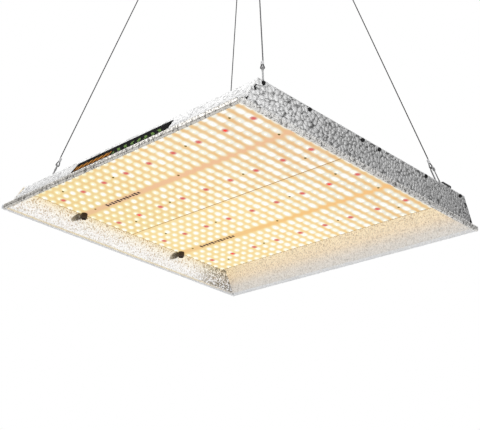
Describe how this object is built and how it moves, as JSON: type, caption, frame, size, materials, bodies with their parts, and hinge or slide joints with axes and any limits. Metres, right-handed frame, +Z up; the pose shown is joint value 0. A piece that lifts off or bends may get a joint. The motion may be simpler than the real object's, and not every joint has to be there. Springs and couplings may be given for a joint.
{
  "type": "led grow light",
  "caption": "Hanging LED grow light: square hammered-aluminium hood, white and red LED boards, driver with dimmer on top, and steel wires gathered on a snap hook.",
  "frame": {"origin": "centre of the hood's open rim, on the plane of the rim", "axes": "+Z up through the hood towards the hanging hook, X along the hood's longer side, LEDs face -Z"},
  "size_m": [0.49, 0.46, 0.8702],
  "materials": {
    "hammered_aluminium": "hammered, bright",
    "plain_aluminium": "plain mill finish",
    "board_white": "white solder mask",
    "black_steel": "black oxide",
    "black_plastic": "moulded, satin",
    "black_rubber": "matt",
    "driver_black": "black anodised",
    "circuit_green": "circuit board and parts",
    "bright_steel": "zinc plated",
    "wire_steel": "stranded wire",
    "label_black": "printed label"
  },
  "bodies": {
    "lamp": {"cable_gland_front": "black_plastic", "cable_gland_rear": "black_plastic", "cord_tie": "black_rubber", "dc_cable_front": "black_rubber", "dc_cable_rear": "black_rubber", "dimmer_box": "black_plastic", "dimmer_cable": "black_rubber", "dimmer_potentiometer": "circuit_green", "driver_case": "driver_black", "driver_circuit": "circuit_green", "driver_end_cap_left": "driver_black", "driver_end_cap_right": "driver_black", "driver_screw_1": "black_steel", "driver_screw_2": "black_steel", "driver_screw_3": "black_steel", "driver_screw_4": "black_steel", "end_plate_left": "hammered_aluminium", "end_plate_right": "hammered_aluminium", "end_plate_screw_left_1": "black_steel", "end_plate_screw_left_2": "black_steel", "end_plate_screw_left_3": "black_steel", "end_plate_screw_left_4": "black_steel", "end_plate_screw_left_5": "black_steel", "end_plate_screw_left_6": "black_steel", "end_plate_screw_right_1": "black_steel", "end_plate_screw_right_2": "black_steel", "end_plate_screw_right_3": "black_steel", "end_plate_screw_right_4": "black_steel", "end_plate_screw_right_5": "black_steel", "end_plate_screw_right_6": "black_steel", "gland_nut_front": "black_plastic", "gland_nut_rear": "black_plastic", "hanging_eye_front_left": "bright_steel", "hanging_eye_front_right": "bright_steel", "hanging_eye_rear_left": "bright_steel", "hanging_eye_rear_right": "bright_steel", "hanging_wire_front_left": "wire_steel", "hanging_wire_front_right": "wire_steel", "hanging_wire_rear_left": "wire_steel", "hanging_wire_rear_right": "wire_steel", "heat_spreader": "plain_aluminium", "hood_pan": "hammered_aluminium", "label_plate": "label_black", "led_board_front": "board_white", "led_board_rear": "board_white", "mains_cord": "black_rubber", "mains_plug": "black_rubber", "snap_hook_front_left": "bright_steel", "snap_hook_front_right": "bright_steel", "snap_hook_rear_left": "bright_steel", "snap_hook_rear_right": "bright_steel", "top_hook": "bright_steel"},
    "dimmer": {"dimmer_knob": "black_plastic", "dimmer_shaft": "plain_aluminium"},
    "top_gate": {"top_hook_gate": "bright_steel"},
    "gate_front_left": {"hook_gate_front_left": "bright_steel"},
    "gate_front_right": {"hook_gate_front_right": "bright_steel"},
    "gate_rear_left": {"hook_gate_rear_left": "bright_steel"},
    "gate_rear_right": {"hook_gate_rear_right": "bright_steel"}
  },
  "joints": [
    {"name": "dimmer_turn", "type": "hinge", "parent": "lamp", "child": "dimmer", "pos_m": [0.206, 0.191, 0.0549], "axis": [-1, 0, 0], "range_deg": [0, 270]},
    {"name": "gate_front_left_swing", "type": "hinge", "parent": "lamp", "child": "gate_front_left", "pos_m": [-0.21879, -0.16837, 0.07893], "axis": [-0.3988, -0.878, 0.2648], "range_deg": [0, 18]},
    {"name": "gate_front_right_swing", "type": "hinge", "parent": "lamp", "child": "gate_front_right", "pos_m": [0.21701, -0.17297, 0.07932], "axis": [0.7248, 0.681, 0.1047], "range_deg": [0, 18]},
    {"name": "gate_rear_left_swing", "type": "hinge", "parent": "lamp", "child": "gate_rear_left", "pos_m": [-0.21825, 0.17028, 0.07924], "axis": [-0.6573, -0.7532, -0.0255], "range_deg": [0, 18]},
    {"name": "gate_rear_right_swing", "type": "hinge", "parent": "lamp", "child": "gate_rear_right", "pos_m": [0.21792, 0.16554, 0.07793], "axis": [0.505, 0.7772, 0.3754], "range_deg": [0, 18]},
    {"name": "top_gate_swing", "type": "hinge", "parent": "lamp", "child": "top_gate", "pos_m": [-0.013, -0.027, 0.81672], "axis": [1, 0, 0], "range_deg": [0, 20]}
  ]
}
